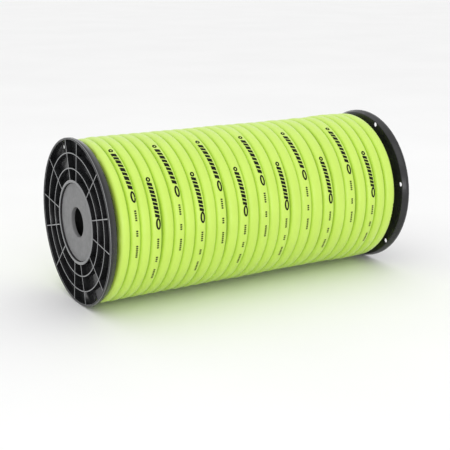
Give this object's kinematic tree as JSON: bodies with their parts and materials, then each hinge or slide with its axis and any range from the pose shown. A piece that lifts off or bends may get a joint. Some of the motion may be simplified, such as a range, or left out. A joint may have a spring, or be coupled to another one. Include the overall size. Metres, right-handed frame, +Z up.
{
  "type": "hose spool",
  "caption": "Bulk spool of garden hose: ribbed moulded flanges with a plain arbor bore, joined by a core barrel that carries a tightly wound hose.",
  "frame": {"origin": "on the floor under the middle of the spool, where it lies on its two flange rims", "axes": "+X along the spool's axis towards the flange whose smooth inner face the picture shows, +Y away from the viewer, +Z up"},
  "size_m": [0.6155, 0.2942, 0.2897],
  "materials": {
    "black_moulding": "glossy black moulded plastic",
    "grey_plate": "matte dark grey plastic",
    "core": "matte black plastic tube",
    "hose": "satin lime green hybrid polymer",
    "tie": "black nylon"
  },
  "bodies": {
    "root": {"flange_left": "black_moulding", "flange_right": "black_moulding", "hub_plate_left": "grey_plate", "hub_plate_right": "grey_plate", "core_barrel": "core", "hose_winding": "hose", "hose_last_turn": "hose", "end_tie_strap": "tie", "end_tie_head": "tie"}
  },
  "joints": []
}
